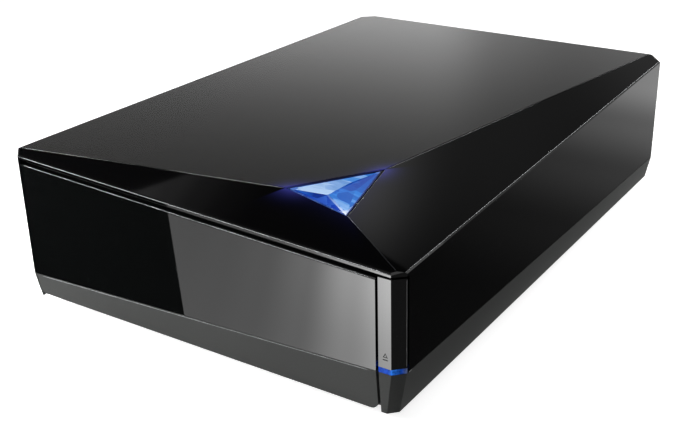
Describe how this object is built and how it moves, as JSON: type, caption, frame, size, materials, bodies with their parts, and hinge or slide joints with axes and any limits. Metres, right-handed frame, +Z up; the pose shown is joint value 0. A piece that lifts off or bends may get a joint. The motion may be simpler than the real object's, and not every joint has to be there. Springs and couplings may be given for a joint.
{
  "type": "external optical disc drive",
  "caption": "Desktop optical disc drive in a wedge-facetted case with a drawer front, a tall corner eject key and a clear stone let into the top.",
  "frame": {"origin": "centre of the footprint at the height of the feet", "axes": "+Z up, the drawer front faces -Y, +X to the right seen from the front"},
  "size_m": [0.165, 0.243, 0.063],
  "materials": {
    "gloss_black": "deep gloss",
    "mirror_panel": "mirror gloss",
    "satin_plate": "fine satin",
    "matte_band": "fine matte grain",
    "crystal": "clear, facetted",
    "light_guide": "blue light guide",
    "rubber": "matte",
    "steel": "bright zinc",
    "sheet_steel": "galvanised sheet",
    "drive_black": "moulded",
    "tray_black": "moulded",
    "white_plastic": "moulded",
    "pom": "moulded",
    "circuit_board": "solder mask",
    "chip": "moulded epoxy",
    "die_cast": "die cast",
    "lens": "coated",
    "wire": "insulation",
    "socket_metal": "nickel"
  },
  "bodies": {
    "case": {"top_cover": "gloss_black", "top_plate": "satin_plate", "crystal_lens": "crystal", "crystal_reflector": "white_plastic", "crystal_light_board": "circuit_board", "base_shell": "matte_band", "rear_panel": "matte_band", "usb_socket": "socket_metal", "dc_jack": "chip", "rubber_feet": "rubber", "case_screws": "steel", "drive_screws": "steel", "bridge_board": "circuit_board", "bridge_chips": "chip", "bridge_board_screws": "steel", "dock_connector": "chip", "key_board": "circuit_board", "tact_switch": "chip", "key_light_guide": "light_guide", "key_lead": "wire", "key_lead_plug": "white_plastic", "crystal_lead": "wire", "crystal_lead_plugs": "white_plastic", "drive_face": "drive_black", "drive_bottom_shell": "sheet_steel", "drive_top_shell": "sheet_steel", "drive_frame": "drive_black", "main_board": "circuit_board", "main_chips": "chip", "drive_port": "chip", "loading_motor": "steel", "drive_belt": "rubber", "traverse_dampers": "rubber", "clamp_bridge": "sheet_steel"},
    "drawer": {"front_gloss_panel": "mirror_panel", "front_strip": "matte_band", "disc_tray": "tray_black"},
    "key": {"eject_key": "mirror_panel", "switch_plunger": "pom"},
    "tray_gear_body": {"tray_gear": "pom"},
    "pulley_gear_body": {"pulley_gear": "pom"},
    "motor_pulley_body": {"motor_pulley": "pom"},
    "cam": {"cam_slider": "pom"},
    "traverse": {"traverse_frame": "die_cast", "guide_rods": "steel", "spindle_motor": "steel", "sled_motor": "steel"},
    "turntable_body": {"turntable": "drive_black"},
    "puck": {"clamp_puck": "drive_black"},
    "pickup": {"pickup_body": "die_cast", "objective_lens": "lens"},
    "lead_screw_body": {"lead_screw": "steel"}
  },
  "joints": [
    {"name": "tray_slide", "type": "slide", "parent": "case", "child": "drawer", "axis": [0, -1, 0], "range_m": [0, 0.14]},
    {"name": "eject_key_press", "type": "slide", "parent": "case", "child": "key", "axis": [0, 1, 0], "range_m": [0, 0.0008], "stiffness_N_per_m": 500},
    {"name": "tray_gear_spin", "type": "hinge", "parent": "case", "child": "tray_gear_body", "pos_m": [-0.04165, -0.095, 0.0204], "axis": [0, 0, 1], "range_deg": [0, 550]},
    {"name": "pulley_gear_spin", "type": "hinge", "parent": "case", "child": "pulley_gear_body", "pos_m": [-0.02097, -0.09135, 0.022], "axis": [0, 0, 1], "range_deg": [-1375, 0]},
    {"name": "motor_pulley_spin", "type": "hinge", "parent": "case", "child": "motor_pulley_body", "pos_m": [0.00803, -0.09435, 0.024], "axis": [0, 0, 1], "range_deg": [-5500, 0]},
    {"name": "traverse_tilt", "type": "hinge", "parent": "case", "child": "traverse", "pos_m": [-0.00215, 0.0365, 0.01925], "axis": [1, 0, 0], "range_deg": [0, 2.6]},
    {"name": "cam_slide", "type": "slide", "parent": "case", "child": "cam", "axis": [1, 0, 0], "range_m": [0, 0.012]},
    {"name": "spindle_spin", "type": "hinge", "parent": "traverse", "child": "turntable_body", "pos_m": [-0.00215, -0.0494, 0.026], "axis": [0, 0, 1], "continuous": true},
    {"name": "clamp_spin", "type": "hinge", "parent": "case", "child": "puck", "pos_m": [-0.00215, -0.0494, 0.036], "axis": [0, 0, 1], "continuous": true},
    {"name": "pickup_slide", "type": "slide", "parent": "traverse", "child": "pickup", "axis": [0, 1, 0], "range_m": [0, 0.034]},
    {"name": "lead_screw_spin", "type": "hinge", "parent": "traverse", "child": "lead_screw_body", "pos_m": [0.03185, 0, 0.0232], "axis": [0, 1, 0], "range_deg": [0, 4250]}
  ],
  "couplings": [
    {"joint": "tray_gear_spin", "follows": "tray_slide", "rad_per_m": 66.667},
    {"joint": "pulley_gear_spin", "follows": "tray_slide", "rad_per_m": -166.67},
    {"joint": "motor_pulley_spin", "follows": "tray_slide", "rad_per_m": -666.67},
    {"joint": "cam_slide", "follows": "traverse_tilt", "m_per_rad": 0.2594},
    {"joint": "clamp_spin", "follows": "spindle_spin", "ratio": 1},
    {"joint": "lead_screw_spin", "follows": "pickup_slide", "rad_per_m": 2094.4}
  ]
}
